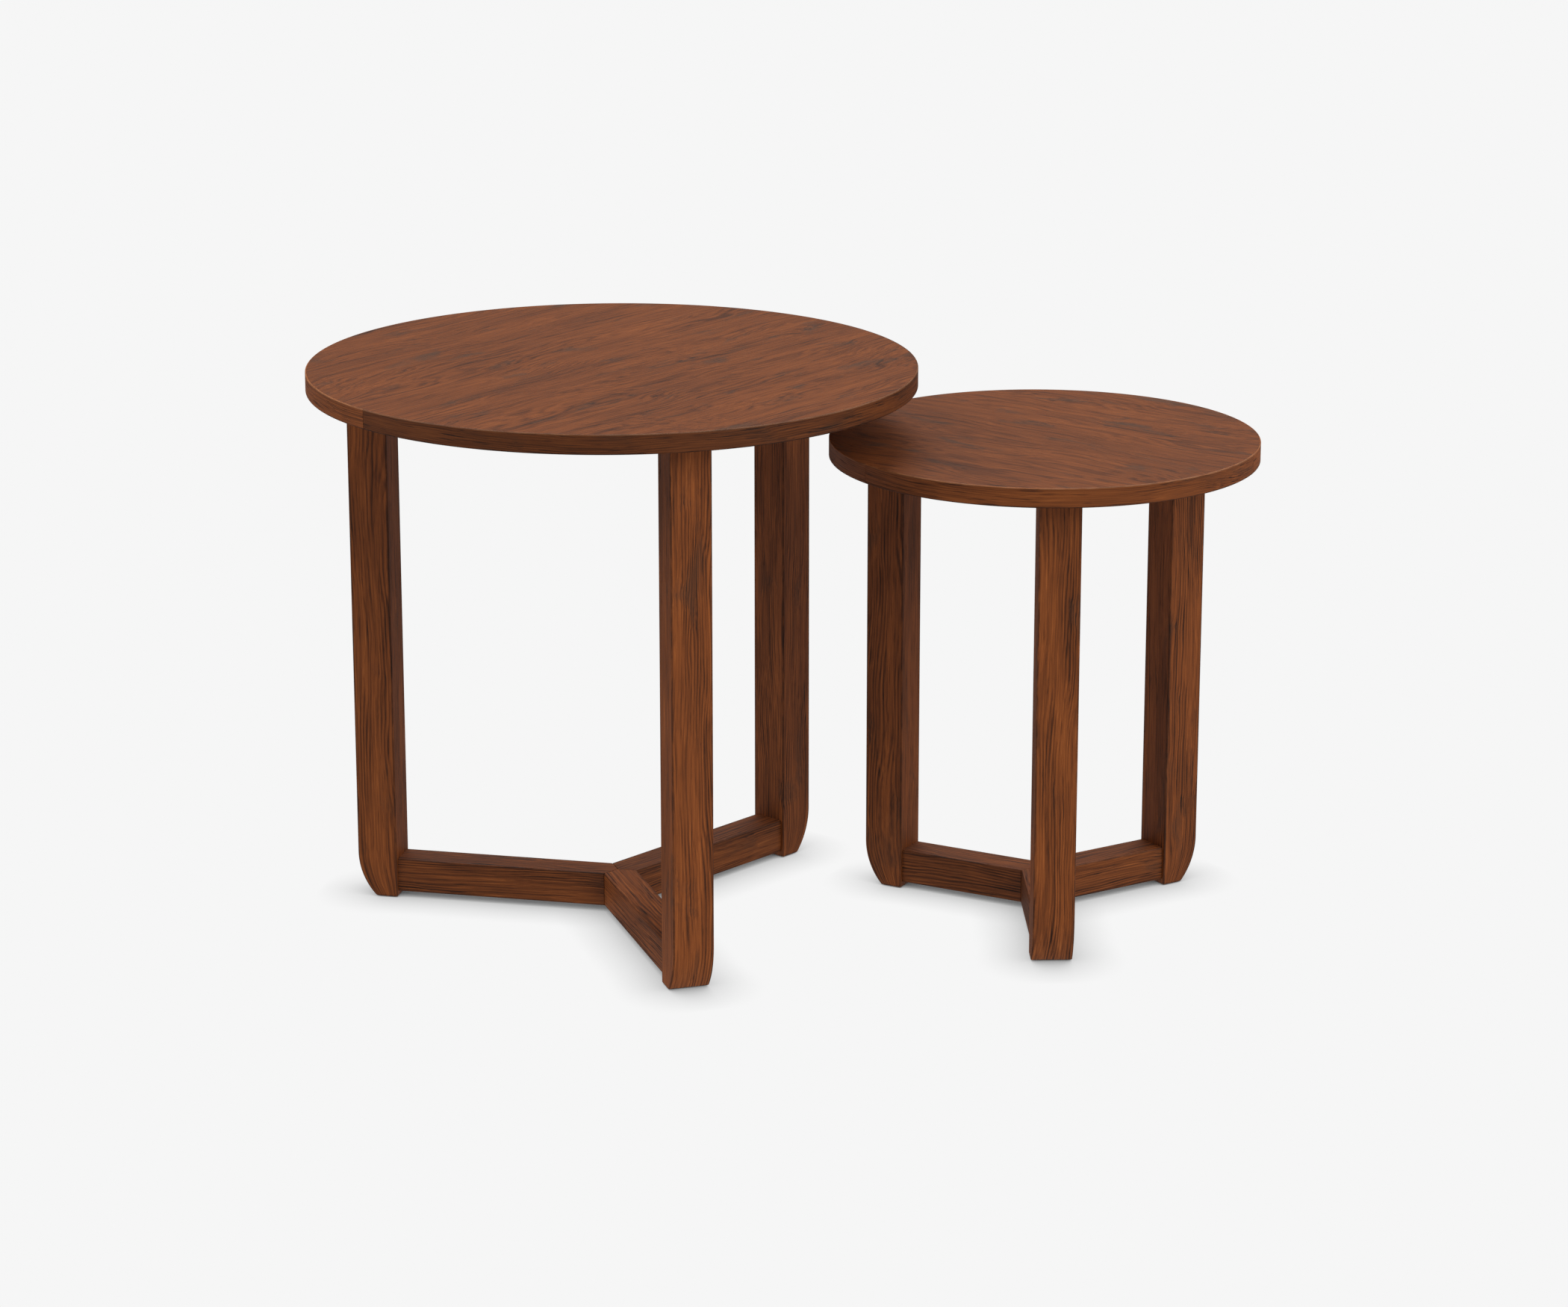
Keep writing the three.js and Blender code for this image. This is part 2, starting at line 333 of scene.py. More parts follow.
def band(facts, start, end):
    """One strip of edge band from angle start to end, with its outer arrises rubbed round."""
    z0, z1 = facts["panel"]
    outer = facts["radius"]
    inner = outer - BAND_THICKNESS
    ease = BAND_EASE
    # the lower arris is marked 1 for a dark line, partly stain and partly painted shade, and the
    # top arris -1 for a painted highlight
    rows = [(inner, z0, 0.4), (outer - ease, z0, 1)]
    rows += round_under(outer, z0, ease)
    rows += [(outer, z0 + SUPPORT, 0), (outer, z1 - SUPPORT, 0)]
    for t in ARC:
        rows.append((outer - ease + ease * math.cos(t), z1 - ease + ease * math.sin(t), -1))
    rows += [(outer - ease, z1, -0.5), (inner, z1, 0)]
    steps = max(2, round((end - start) / RIM_STEP))
    points, faces = revolve(rows, steps, start, end - start)
    n = len(rows)
    for i in range(steps):  # the inner face
        a, b = i * n, (i + 1) * n
        faces.append((a + n - 1, b + n - 1, b, a))
    faces.append(tuple(range(n)))
    faces.append(tuple(reversed(range(steps * n, steps * n + n))))
    return to_mesh(points, faces)


def eased_end(ease):
    """Rows of (inset, distance from the end, wear and edge shading) that round off an end, from it
    inwards.
    """
    rows = [(ease * (1 - math.sin(t)), ease * (1 - math.cos(t)), 1) for t in ARC]
    return [*rows, (0, ease + SUPPORT, 0)]


TOE_HEIGHT = math.sqrt(TOE_RADIUS**2 - (TOE_RADIUS - TOE_INSET) ** 2)


def toe_inset(z, bottom):
    """How far the leg's outer face has curved in at height z."""
    below = np.clip(TOE_HEIGHT - (z - bottom), 0, TOE_HEIGHT)
    return TOE_RADIUS - np.sqrt(TOE_RADIUS**2 - below**2)


def leg(arm):
    """A square post whose outer face curves in at the toe. x points outwards from its middle."""
    half = LEG_SIZE / 2
    top_ease = 0.0004
    z0, z1 = arm["leg_bottom"], arm["leg_top"]
    first = EASE + SUPPORT
    rows = [(z0 + up, inset, wear_and_edge_shading) for inset, up, wear_and_edge_shading in eased_end(EASE)]
    for i in range(1, TOE_STEPS + 1):
        rows.append((z0 + first + (TOE_HEIGHT - first) * i / TOE_STEPS, 0, 0))
    for share in (0.25, 0.5, 0.75):
        rows.append((z0 + TOE_HEIGHT + (z1 - z0 - TOE_HEIGHT) * share, 0, 0))
    rows += [(z1 - down, inset, wear_and_edge_shading) for inset, down, wear_and_edge_shading in reversed(eased_end(top_ease))]
    rings = []
    for z, inset, wear_and_edge_shading in rows:
        outer = half - toe_inset(z, z0)
        flat = section(-half + inset, outer - inset, -half + inset, half - inset)
        rings.append(level(flat[:, :2], z, np.maximum(flat[:, 2], wear_and_edge_shading)))
    return to_mesh(*loft(rings))


def stretcher(facts, arm):
    """One arm of the base, mitred to the other two. x runs out from the table's middle."""
    z0, z1 = facts["stretcher"]
    half = (z1 - z0) / 2
    end = arm["leg_centre"] - LEG_SIZE / 2 - SEAM
    flat = section(-half, half, -half, half)
    # a point at the middle of the top and of the bottom side, where the mitre's two faces meet
    quarter = ARC_STEPS + 3
    flat = np.insert(flat, [quarter, 3 * quarter], [[0, half, 0], [0, -half, 0]], 0)
    n = len(flat)
    ease = 0.0003
    tip = 2 * SEAM / math.sin(SIXTY)
    rings = []
    for back, inset in ((0, ease), (ease, 0), (SUPPORT, 0)):
        y = flat[:, 0] * (1 - inset / half)
        z = flat[:, 1] * (1 - inset / half)
        x = tip + back + np.abs(flat[:, 0]) * (1 / math.tan(SIXTY))
        wear_and_edge_shading = np.maximum(flat[:, 2], 0.4 if back < SUPPORT else 0.0)
        rings.append(np.column_stack([x, y, z + (z0 + z1) / 2, wear_and_edge_shading]))
    for x in (0.05, end - FADE, end):
        y, z, wear_and_edge_shading = flat.T
        wear_and_edge_shading = np.maximum(wear_and_edge_shading, 0.6 if x == end else 0.0)
        rings.append(np.column_stack([np.full(n, x), y, z + (z0 + z1) / 2, wear_and_edge_shading]))
    points, faces = loft(rings, caps=False)
    last = (len(rings) - 1) * n
    faces.append(tuple(last + i for i in range(n)))
    top = quarter
    bottom = 3 * quarter + 1
    one = list(range(top, bottom + 1))
    other = list(range(bottom, n)) + list(range(0, top + 1))
    faces.append(tuple(reversed(one)))
    faces.append(tuple(reversed(other)))
    return to_mesh(points, faces)


def slot_ring(radius, straight):
    """A slot's outline in (across, up): half-round top and bottom, straight sides."""
    rows = []
    for start, rise in ((0, straight), (math.pi, -straight)):
        for i in range(SLOT_STEPS + 1):
            t = start + math.pi * i / SLOT_STEPS
            rows.append((radius * math.cos(t), rise + radius * math.sin(t)))
    return np.array(rows)


def tenon(middle_x, middle_z, grow=0.0):
    """A loose tenon along x with chamfered ends or, with grow above 0, a cutter for its mortise."""
    radius = TENON_THICKNESS / 2
    straight = TENON_HEIGHT / 2 - radius
    end = TENON_LENGTH / 2 + grow
    rows = [(-end, 0), (end, 0)]
    if not grow:
        rows = [(-end, CHAMFER), (CHAMFER - end, 0), (end - CHAMFER, 0), (end, CHAMFER)]
    rings = []
    for x, inset in rows:
        y, z = slot_ring(radius + grow - inset, straight).T
        n = len(y)
        edge_mark = np.full(n, 1.0 if inset else 0.0)
        rings.append(np.column_stack([np.full(n, middle_x + x), y, z + middle_z, edge_mark]))
    return to_mesh(*loft(rings))


# ----------------------------------------------------------- hardware shapes


def thread(x, radius, depth, pitch, z0, z1, point=0.0, lead=0.0015):
    """Rings of a helical thread from z0 up to z1.

    point is the length over which it tapers in at z0, and lead the length over which it fades out
    at z1, and at z0 too if it has no point.
    """
    steepness = 3.2
    blunt = 0.12  # the point's own size, as a share of the shank
    count = max(2, round((z1 - z0) / pitch * RINGS_PER_TURN))
    a = np.arange(THREAD_ROUND) * 2 * math.pi / THREAD_ROUND
    rings = []
    for k in range(count + 1):
        z = z0 + (z1 - z0) * k / count
        phase = (z / pitch - a / (2 * math.pi)) % 1.0
        ridge = np.clip(1 - np.abs(phase - 0.5) * steepness, 0, 1)
        size = min(1.0, blunt + (1 - blunt) * (z - z0) / point) if point else 1.0
        fade = min(1.0, (z1 - z) / lead, 1.0 if point else (z - z0) / lead)
        r = (radius - depth + depth * ridge * max(fade, 0)) * size
        rings.append(level(circle(x, r, THREAD_ROUND), z, ridge))
    return rings


def round_rings(x, rows):
    """Round rings from rows of (radius, z, wear)."""
    return [level(circle(x, radius, THREAD_ROUND), z, wear_and_edge_shading) for radius, z, wear_and_edge_shading in rows]


def leg_bolt(x, z0, z1):
    """A hanger bolt: a wood thread below the leg's top and an M8 thread above it."""
    collar = z1 - 0.011
    rings = thread(x, BOLT_RADIUS, 0.0009, 0.0026, z0, collar - 0.004, point=0.007)
    rings += round_rings(x, [(BOLT_RADIUS, collar - 0.0038, 0), (BOLT_RADIUS, collar - 0.0002, 0)])
    rings += thread(x, BOLT_THREAD_RADIUS, 0.0006, 0.00125, collar, z1 - 0.0008, lead=0.0008)
    rings += round_rings(x, [(0.0031, z1, 1)])
    return to_mesh(*loft(rings))


def insert(x, z0, z1):
    """A brass insert with a coarse outside thread and an open bore."""
    bore, mouth = 0.0043, 0.0047
    ease = 0.0004
    outer = thread(x, INSERT_RADIUS, 0.0011, 0.0025, z0 + 0.0008, z1 - 0.0002, lead=0.001)
    rings = round_rings(
        x, [(bore, z0 + ease, 0), (mouth, z0, 1), (0.0063, z0, 1), (INSERT_RADIUS, z0 + ease, 1)]
    )
    rings += outer
    rings += round_rings(x, [(0.0052, z1, 1), (mouth, z1, 1), (bore, z1 - ease, 0)])
    points, faces = loft(rings, caps=False)
    n = len(rings[0])
    last = (len(rings) - 1) * n
    for i in range(n):
        j = (i + 1) % n
        faces.append((last + i, last + j, j, i))
    return to_mesh(points, faces)


def dowel(x, z0, z1):
    """A fluted beech dowel with chamfered ends."""
    steps = 4 * FLUTES
    flute = np.where(np.arange(steps) % 4 == 0, 0.00035, 0.0)
    end = 0.0008
    rings = []
    for z, inset in ((z0, end), (z0 + CHAMFER, 0), (z1 - CHAMFER, 0), (z1, end)):
        ring = circle(x, DOWEL_RADIUS - flute - inset, steps)
        rings.append(level(ring, z, 1.0 if inset else 0.0))
    return to_mesh(*loft(rings))


def hub_outline(half, reach):
    """The hub plate's outline: three arms with rounded corners, at 120 degrees."""
    notch = half / math.sin(SIXTY)
    rows = []
    for k in range(3):
        a = math.radians(120 * k)
        along = np.array([math.cos(a), math.sin(a)])
        across = np.array([-along[1], along[0]])
        for side in (-1, 1):
            centre = along * (reach - HUB_CORNER) + across * side * (half - HUB_CORNER)
            for t in ARC:
                if side < 0:
                    out = along * math.sin(t) - across * math.cos(t)
                else:
                    out = along * math.cos(t) + across * math.sin(t)
                rows.append(centre + HUB_CORNER * out)
        between = a + SIXTY
        rows.append(np.array([notch * math.cos(between), notch * math.sin(between)]))
    return np.array(rows)


def hub_prism(half, reach, z0, z1, ease=0.0):
    """The hub plate's shape between two heights, with eased edges if ease is above 0."""
    rows = [(z0, 0), (z1, 0)]
    if ease:
        rows = [(z0, ease), (z0 + ease, 0), (z1 - ease, 0), (z1, ease)]
    rings = []
    for z, inset in rows:
        ring = hub_outline(half - inset, reach - inset)
        rings.append(level(ring, z, 1.0 if inset else 0.2))
    return to_mesh(*loft(rings))


def hub_plate(reach, z0, z1):
    """The three-armed plate, with a countersunk hole in each arm."""
    plate = hub_prism(HUB_ARM_HALF, reach, z0, z1, 0.0004)
    wide, narrow = 0.0046, 0.0024
    rows = [
        (0, z0 - OVERCUT, 0),
        (wide, z0 - OVERCUT, 0),
        (wide, z0 + 0.0001, 0),
        (narrow, z0 + 0.0023, 0),
        (narrow, z1 + OVERCUT, 0),
        (0, z1 + OVERCUT, 0),
    ]
    sinks = []
    for k in range(3):
        sink = place(to_mesh(*revolve(rows)), 0, (SCREW_AT, 0, 0))
        sinks.append(place(sink, math.radians(120 * k)))
    return cut(plate, sinks)


def hub_screw(x, z0, z1):
    """A countersunk screw driven upwards, with a cross recess in its head."""
    rings = round_rings(
        x, [(0.0036, z0, 1), (0.0040, z0 + 0.00025, 1), (SCREW_SHANK, z0 + 0.0022, 0)]
    )
    # the thread is made point down, and turned over
    for ring in reversed(thread(x, 0.0021, 0.0006, 0.0016, -z1, -(z0 + 0.005), point=0.005)):
        ring[:, 2] *= -1
        rings.append(ring)
    mesh = to_mesh(*loft(rings))
    mouth, floor = (z0 - 0.0005, 1.0), (z0 + 0.0016, 0.45)
    slit, reach = 0.0005, 0.0021
    cutters = []
    for u, v in ((reach, slit), (slit, reach)):
        ring = np.array([(-u, -v), (u, -v), (u, v), (-u, v)])
        rings = [level(ring * share + (x, 0), z, 0) for z, share in (mouth, floor)]
        cutters.append(to_mesh(*loft(rings)))
    return cut(mesh, cutters)


def glide(x, z0, z1):
    """A nylon glide with a rounded lower edge and the head of its nail let into the middle."""
    top_ease = 0.0003
    rows = [
        (0, z0 + 0.0012, 0),
        (0.0021, z0 + 0.0010, 0.2),
        (0.0024, z0 + 0.0002, 1),
        (0.0028, z0, 1),
        *round_under(GLIDE_RADIUS, z0, 0.0009),
        (GLIDE_RADIUS, z1 - top_ease, 0),
        (GLIDE_RADIUS - top_ease, z1, 1),
        (0, z1, 0),
    ]
    points, faces = revolve(rows)
    points[:, 0] += x
    return to_mesh(points, faces)


# ------------------------------------------------------------------ materials


class Graph:
    """Short names for building a node tree."""

    def __init__(self, tree):
        self.tree = tree

    def node(self, kind, inputs=None, **settings):
        """A new node with its settings made and its inputs fed."""
        made = self.tree.nodes.new(kind)
        for key, value in settings.items():
            setattr(made, key, value)
        for key, value in (inputs or {}).items():
            self.feed(made.inputs[key], value)
        return made

    def feed(self, socket, value):
        """Links the value to the socket if it is another node's output, or sets it there."""
        if isinstance(value, bpy.types.NodeSocket):
            self.tree.links.new(value, socket)
        elif value is not None:
            socket.default_value = value

    def math(self, operation, a, b=None, c=None):
        """What one math node gives."""
        return self.node("ShaderNodeMath", {0: a, 1: b, 2: c}, operation=operation).outputs[0]

    def vector(self, operation, a, b=None):
        """What one vector math node gives."""
        made = self.node("ShaderNodeVectorMath", {0: a, 1: b}, operation=operation)
        return made.outputs["Value" if operation == "LENGTH" else "Vector"]

    def centred(self, value):
        """Noise shifted so that its middle is 0."""
        return self.math("SUBTRACT", value, 0.5)

    def noise(self, point, per_metre, detail=2.0, roughness=0.5, distortion=0.0):
        """Noise from 0 to 1, with so many cells per metre along, across and through the timber."""
        inputs = {
            "Vector": self.vector("MULTIPLY", point, per_metre),
            "Scale": 1.0,
            "Detail": detail,
            "Roughness": roughness,
            "Distortion": distortion,
        }
        return self.node("ShaderNodeTexNoise", inputs).outputs["Fac"]

    def step(self, value, low, high, out_low=0.0, out_high=1.0):
        """A smooth step from out_low, where the value is low, to out_high, where it is high."""
        inputs = {
            "Value": value,
            "From Min": low,
            "From Max": high,
            "To Min": out_low,
            "To Max": out_high,
        }
        made = self.node("ShaderNodeMapRange", inputs, interpolation_type="SMOOTHSTEP")
        return made.outputs["Result"]

    def ramp(self, value, stops):
        """A colour for each value, from stops of (position, colour)."""
        made = self.node("ShaderNodeValToRGB", {"Fac": value})
        ramp = made.color_ramp
        while len(ramp.elements) < len(stops):
            ramp.elements.new(0.5)
        for element, (position, colour) in zip(ramp.elements, stops):
            element.position = position
            element.color = (*colour, 1)
        return made.outputs["Color"]

    def mix(self, factor, a, b):
        """The colour a passing into b as the factor goes from 0 to 1."""
        made = self.node("ShaderNodeMix", data_type="RGBA")
        self.feed(made.inputs["Factor"], factor)
        for key, colour in (("A", a), ("B", b)):
            solid = not isinstance(colour, bpy.types.NodeSocket)
            self.feed(made.inputs[key], (*colour, 1) if solid else colour)
        return made.outputs["Result"]

    def attribute(self, name, output):
        """A mesh attribute's value."""
        return self.node("ShaderNodeAttribute", attribute_name=name).outputs[output]


def new_material(name, kind="ShaderNodeBsdfPrincipled"):
    """A material of one shader node. Returns the material, its graph and the shader."""
    material = bpy.data.materials.new(name)
    material.use_nodes = True
    material.node_tree.nodes.clear()
    graph = Graph(material.node_tree)
    shader = graph.node(kind)
    graph.node("ShaderNodeOutputMaterial", {"Surface": shader.outputs[0]})
    return material, graph, shader


def add_bump(g, shader, height, strength, distance):
    """Gives the shader's surface relief."""
    inputs = {"Height": height, "Strength": strength, "Distance": distance}
    g.feed(shader.inputs["Normal"], g.node("ShaderNodeBump", inputs).outputs[0])


NOISE_SPAN = 4.4  # noise strays from its middle by about 1 / this at most
WHITE = (1, 1, 1, 1)
CLOUD_BROWN = (0.078, 0.043, 0.026)
STAIN_AND_EDGE_SHADE = (0.026, 0.010, 0.0055)
PAINTED_EDGE_HIGHLIGHT = (0.34, 0.150, 0.066)


def wood(
    name,
    stops,
    ring,
    fine,
    wander,
    ripple,
    smudge,
    fleck,
    arris=0.55,
    contrast=1.0,
    combed=0.19,
    veined=0.15,
):
    """Stained open-pored timber.

    ring is the spacing in metres of the dark veins, and fine that of the lines between them.
    wander and ripple are how far these stray, in metres, over a long and a short way. The others
    say how dark each thing is: smudge the clouded spots, fleck the pores, arris the dark line along
    the arrises, partly gathered stain and partly painted shade, combed the fine lines and veined
    the veins. contrast is for all but the spots.
    """
    material, g, shader = new_material(name)
    point = g.attribute("grain", "Vector")
    tone_and_shading = g.attribute("tone_and_shading", "Fac")
    edge_mark = g.attribute("wear_and_edge_shading", "Fac")

    # clouded spots, which the fibres flow round
    cloud = g.noise(point, (12, 36, 36), 4, 0.6, 0.5)
    spots = g.step(cloud, 0.54, 0.76)
    # the fibres' wander across the timber
    slow = g.noise(point, (2.6, 7, 7))
    fast = g.noise(point, (10, 40, 40))
    shift = g.math("MULTIPLY", g.centred(slow), NOISE_SPAN * wander)
    shift = g.math("MULTIPLY_ADD", g.centred(fast), NOISE_SPAN * ripple, shift)
    shift = g.math("MULTIPLY_ADD", spots, ripple, shift)
    sideways = g.node("ShaderNodeCombineXYZ", {"Y": shift, "Z": shift})
    moved = g.vector("ADD", point, sideways.outputs[0])

    # veins along the growth rings about the heart, which come and go
    split = g.node("ShaderNodeSeparateXYZ", {"Vector": moved}).outputs
    flat = g.node("ShaderNodeCombineXYZ", {"Y": split["Y"], "Z": split["Z"]})
    radius = g.vector("LENGTH", flat.outputs[0])
    phase = g.math("FRACT", g.math("DIVIDE", radius, ring))
    line = g.math("MULTIPLY", g.step(phase, 0.52, 0.90), g.step(phase, 1.0, 0.94))
    line = g.math("MULTIPLY", line, g.step(g.noise(point, (5, 60, 60)), 0.42, 0.68))

    # streaks, fibres and open pores along the grain
    broad = g.noise(moved, (5, 36, 36))
    streak = g.noise(moved, (12, 260, 260), 3, 0.62)
    fibre = g.noise(moved, (15, 800, 800), 4, 0.7)
    pores = g.step(g.noise(moved, (26, 560, 560), 2, 0.6), 0.56, 0.70)

    # fine parallel lines, which come and go too
    jitter = g.noise(point, (6, 110, 110))
    turn = g.math("MULTIPLY_ADD", radius, 2 * math.pi / fine, g.math("MULTIPLY", jitter, 9.0))
    comb = g.math("POWER", g.math("MULTIPLY_ADD", g.math("SINE", turn), 0.5, 0.5), 1.6)
    comb = g.math("MULTIPLY", comb, g.step(g.noise(point, (7, 75, 75)), 0.34, 0.60))

    # how far up the stops the colour lies, and by how much each thing moves it
    value = 0.68
    for signal, weight in (
        (g.centred(broad), 0.36),
        (g.centred(streak), 0.26 * contrast),
        (g.centred(fibre), 0.72 * contrast),
        (comb, -combed * contrast),
        (line, -veined * contrast),
        (pores, -0.60 * fleck * contrast),
        (spots, -0.30 * smudge),
    ):
        value = g.math("MULTIPLY_ADD", signal, weight, value)
    colour = g.ramp(value, stops)
    colour = g.mix(g.math("MULTIPLY", spots, 0.75 * smudge), colour, CLOUD_BROWN)

    # a dark line along the arrises where the value is above 0, partly gathered stain and partly
    # painted shade, and a painted highlight along others where it is below 0
    edge_breakup = g.noise(point, (60, 240, 240), 3, 0.6)
    dark = g.math("MULTIPLY", g.step(edge_mark, 0.4, 1.0), g.step(edge_breakup, 0.66, 0.40, 0.35, 1.0))
    colour = g.mix(g.math("MULTIPLY", dark, arris), colour, STAIN_AND_EDGE_SHADE)
    # painted highlight: a pale strip where an eased arris would catch the light
    light = g.math("MULTIPLY", g.step(edge_mark, -0.25, -1.0), g.step(edge_breakup, 0.36, 0.60, 0.4, 1.0))
    colour = g.mix(g.math("MULTIPLY", light, 0.55), colour, PAINTED_EDGE_HIGHLIGHT)
    scaled = g.node("ShaderNodeVectorMath", {0: colour, "Scale": tone_and_shading}, operation="SCALE")
    g.feed(shader.inputs["Base Color"], scaled.outputs["Vector"])

    rough = g.math("MULTIPLY_ADD", pores, 0.14, 0.55)
    rough = g.math("MULTIPLY_ADD", g.centred(streak), 0.22, rough)
    g.feed(shader.inputs["Roughness"], rough)
    height = g.math("MULTIPLY_ADD", pores, -1.0, g.math("MULTIPLY", fibre, 0.55))
    height = g.math("MULTIPLY_ADD", comb, -0.30, height)
    add_bump(g, shader, height, 0.4, 0.00025)
    shader.inputs["IOR"].default_value = 1.48
    shader.inputs["Specular IOR Level"].default_value = 0.25
    return material


WALNUT = [
    (0.00, (0.018, 0.0056, 0.0022)),
    (0.22, (0.055, 0.0150, 0.0038)),
    (0.45, (0.108, 0.0283, 0.0056)),
    (0.62, (0.150, 0.0395, 0.0075)),
    (0.80, (0.202, 0.0555, 0.0108)),
    (1.00, (0.290, 0.0880, 0.0200)),
]


def lighter(share):
    """The stops of the walnut stain, so many times as light."""
    return [(position, tuple(c * share for c in colour)) for position, colour in WALNUT]


def metal(name, colour, roughness):
    """Plated metal with a fine grained surface, dulled in patches and polished on its edges."""
    material, g, shader = new_material(name)
    point = g.node("ShaderNodeTexCoord").outputs["Object"]
    edge_mark = g.attribute("wear_and_edge_shading", "Fac")
    cloud = g.noise(point, (90, 90, 90), 4, 0.6)
    grit = g.noise(point, (2600, 2600, 2600))
    dull = tuple(c * 0.62 for c in colour)
    bright = tuple(min(1, c * 1.15) for c in colour)
    shade = g.mix(g.step(cloud, 0.42, 0.66), colour, dull)
    shade = g.mix(g.math("MULTIPLY", edge_mark, 0.5), shade, bright)
    g.feed(shader.inputs["Base Color"], shade)
    shader.inputs["Metallic"].default_value = 1.0
    rough = g.math("MULTIPLY_ADD", g.step(cloud, 0.4, 0.7), 0.18, roughness)
    g.feed(shader.inputs["Roughness"], g.math("MULTIPLY_ADD", edge_mark, -0.08, rough))
    add_bump(g, shader, grit, 0.12, 0.0001)
    return material


def nylon(name):
    """Dark moulded nylon, scuffed pale where it rubs on the floor."""
    material, g, shader = new_material(name)
    point = g.node("ShaderNodeTexCoord").outputs["Object"]
    edge_mark = g.attribute("wear_and_edge_shading", "Fac")
    cloud = g.noise(point, (140, 140, 140), 3, 0.6)
    scuff = g.noise(point, (420, 1900, 1900), 3, 0.6)
    shade = g.ramp(cloud, [(0.3, (0.014, 0.011, 0.010)), (0.7, (0.030, 0.024, 0.021))])
    rubbed = g.math("MULTIPLY", g.step(scuff, 0.5, 0.68), g.math("MULTIPLY_ADD", edge_mark, 0.35, 0.12))
    shade = g.mix(rubbed, shade, (0.11, 0.10, 0.092))
    g.feed(shader.inputs["Base Color"], shade)
    g.feed(shader.inputs["Roughness"], g.math("MULTIPLY_ADD", scuff, 0.3, 0.36))
    add_bump(g, shader, scuff, 0.2, 0.0001)
    return material


BEECH = [
    (0.0, (0.30, 0.16, 0.075)),
    (0.45, (0.50, 0.31, 0.165)),
    (0.75, (0.62, 0.42, 0.25)),
    (1.0, (0.72, 0.53, 0.35)),
]

panel_wood = wood(
    "panel_wood", WALNUT, ring=0.0070, fine=0.0023, wander=0.016, ripple=0.0020,
    smudge=0.75, fleck=0.32, contrast=1.25, veined=0.23,
)
rim_wood = wood(
    "rim_wood", lighter(1.34), ring=0.0040, fine=0.0016, wander=0.005, ripple=0.0010,
    smudge=0.35, fleck=0.5, arris=0.75, contrast=1.3,
)
leg_wood = wood(
    "leg_wood", lighter(1.46), ring=0.0042, fine=0.0019, wander=0.0045, ripple=0.0010,
    smudge=0.40, fleck=0.22, arris=0.6, contrast=1.6, combed=0.24,
)
stretcher_wood = wood(
    "stretcher_wood", lighter(1.24), ring=0.0042, fine=0.0019, wander=0.0045, ripple=0.0010,
    smudge=0.35, fleck=0.22, arris=0.45, contrast=1.85, combed=0.24,
)
beech = wood(
    "beech", BEECH, ring=0.003, fine=0.0015, wander=0.002, ripple=0.0005,
    smudge=0.1, fleck=0.25, arris=0.0,
)
zinc_steel = metal("zinc_steel", (0.60, 0.60, 0.585), 0.30)
brass = metal("brass", (0.66, 0.47, 0.19), 0.28)
nylon_black = nylon("nylon")

# -------------------------------------------------------------------- assembly

GRAIN_TURN = {"large": math.radians(51), "small": math.radians(-37)}
# how far a piece lies from the heart of its tree, across and through
PANEL_HEART = {"large": (0.42, 0.11), "small": (0.27, 0.13)}
BAND_HEART = (0.04, 0.03)
STICK_HEART = (0.06, 0.05)
SMALL_HEART = (0.02, 0.02)
# a factor on each piece's colour: partly its own tone, partly painted light and shade, lighter on
# pieces that face the lamps and darker on those in shade
TONE_AND_SHADING = {
    "large_top_panel": 1.0, "small_top_panel": 1.0,
    "large_rim_band_1": 0.62, "large_rim_band_2": 1.08,
    "small_rim_band_1": 0.98, "small_rim_band_2": 1.12, "small_rim_band_3": 0.96,
}
PIECE_NAMES = {
    "leg": "post",
    "stretcher": "base_arm",
    "tenon": "loose_tenon",
    "dowel": "fluted_dowel",
    "bolt": "hanger_bolt",
    "insert": "threaded_insert",
    "hub_screw": "cross_screw",
    "glide": "foot_glide",
}
# painted light: the front legs are made lighter where they face the lamps
LEG_TONE_AND_SHADING = {
    ("large", "front"): 1.10, ("large", "right"): 0.92, ("large", "left"): 1.00,
    ("small", "front"): 1.12, ("small", "right"): 1.00, ("small", "left"): 0.93,
}
# painted shade: the large table's right arm is made darker where it lies in shade
STRETCHER_TONE_AND_SHADING = {
    ("large", "front"): 1.02, ("large", "right"): 0.84, ("large", "left"): 0.94,
    ("small", "front"): 0.95, ("small", "right"): 0.98, ("small", "left"): 0.90,
}


def timber(along, across, through, seed, heart=STICK_HEART):
    """A function from a piece's local points to its coordinates in the timber.

    seed is the number of the stretch of timber that the piece is cut from.
    """
    start = 1.37 * seed

    def grain(co):
        return np.stack([along(co) + start, across(co) + heart[0], through(co) + heart[1]], 1)

    return grain


def axis(k):
    """A function from points to their coordinates on one axis."""
    return lambda p: p[:, k]


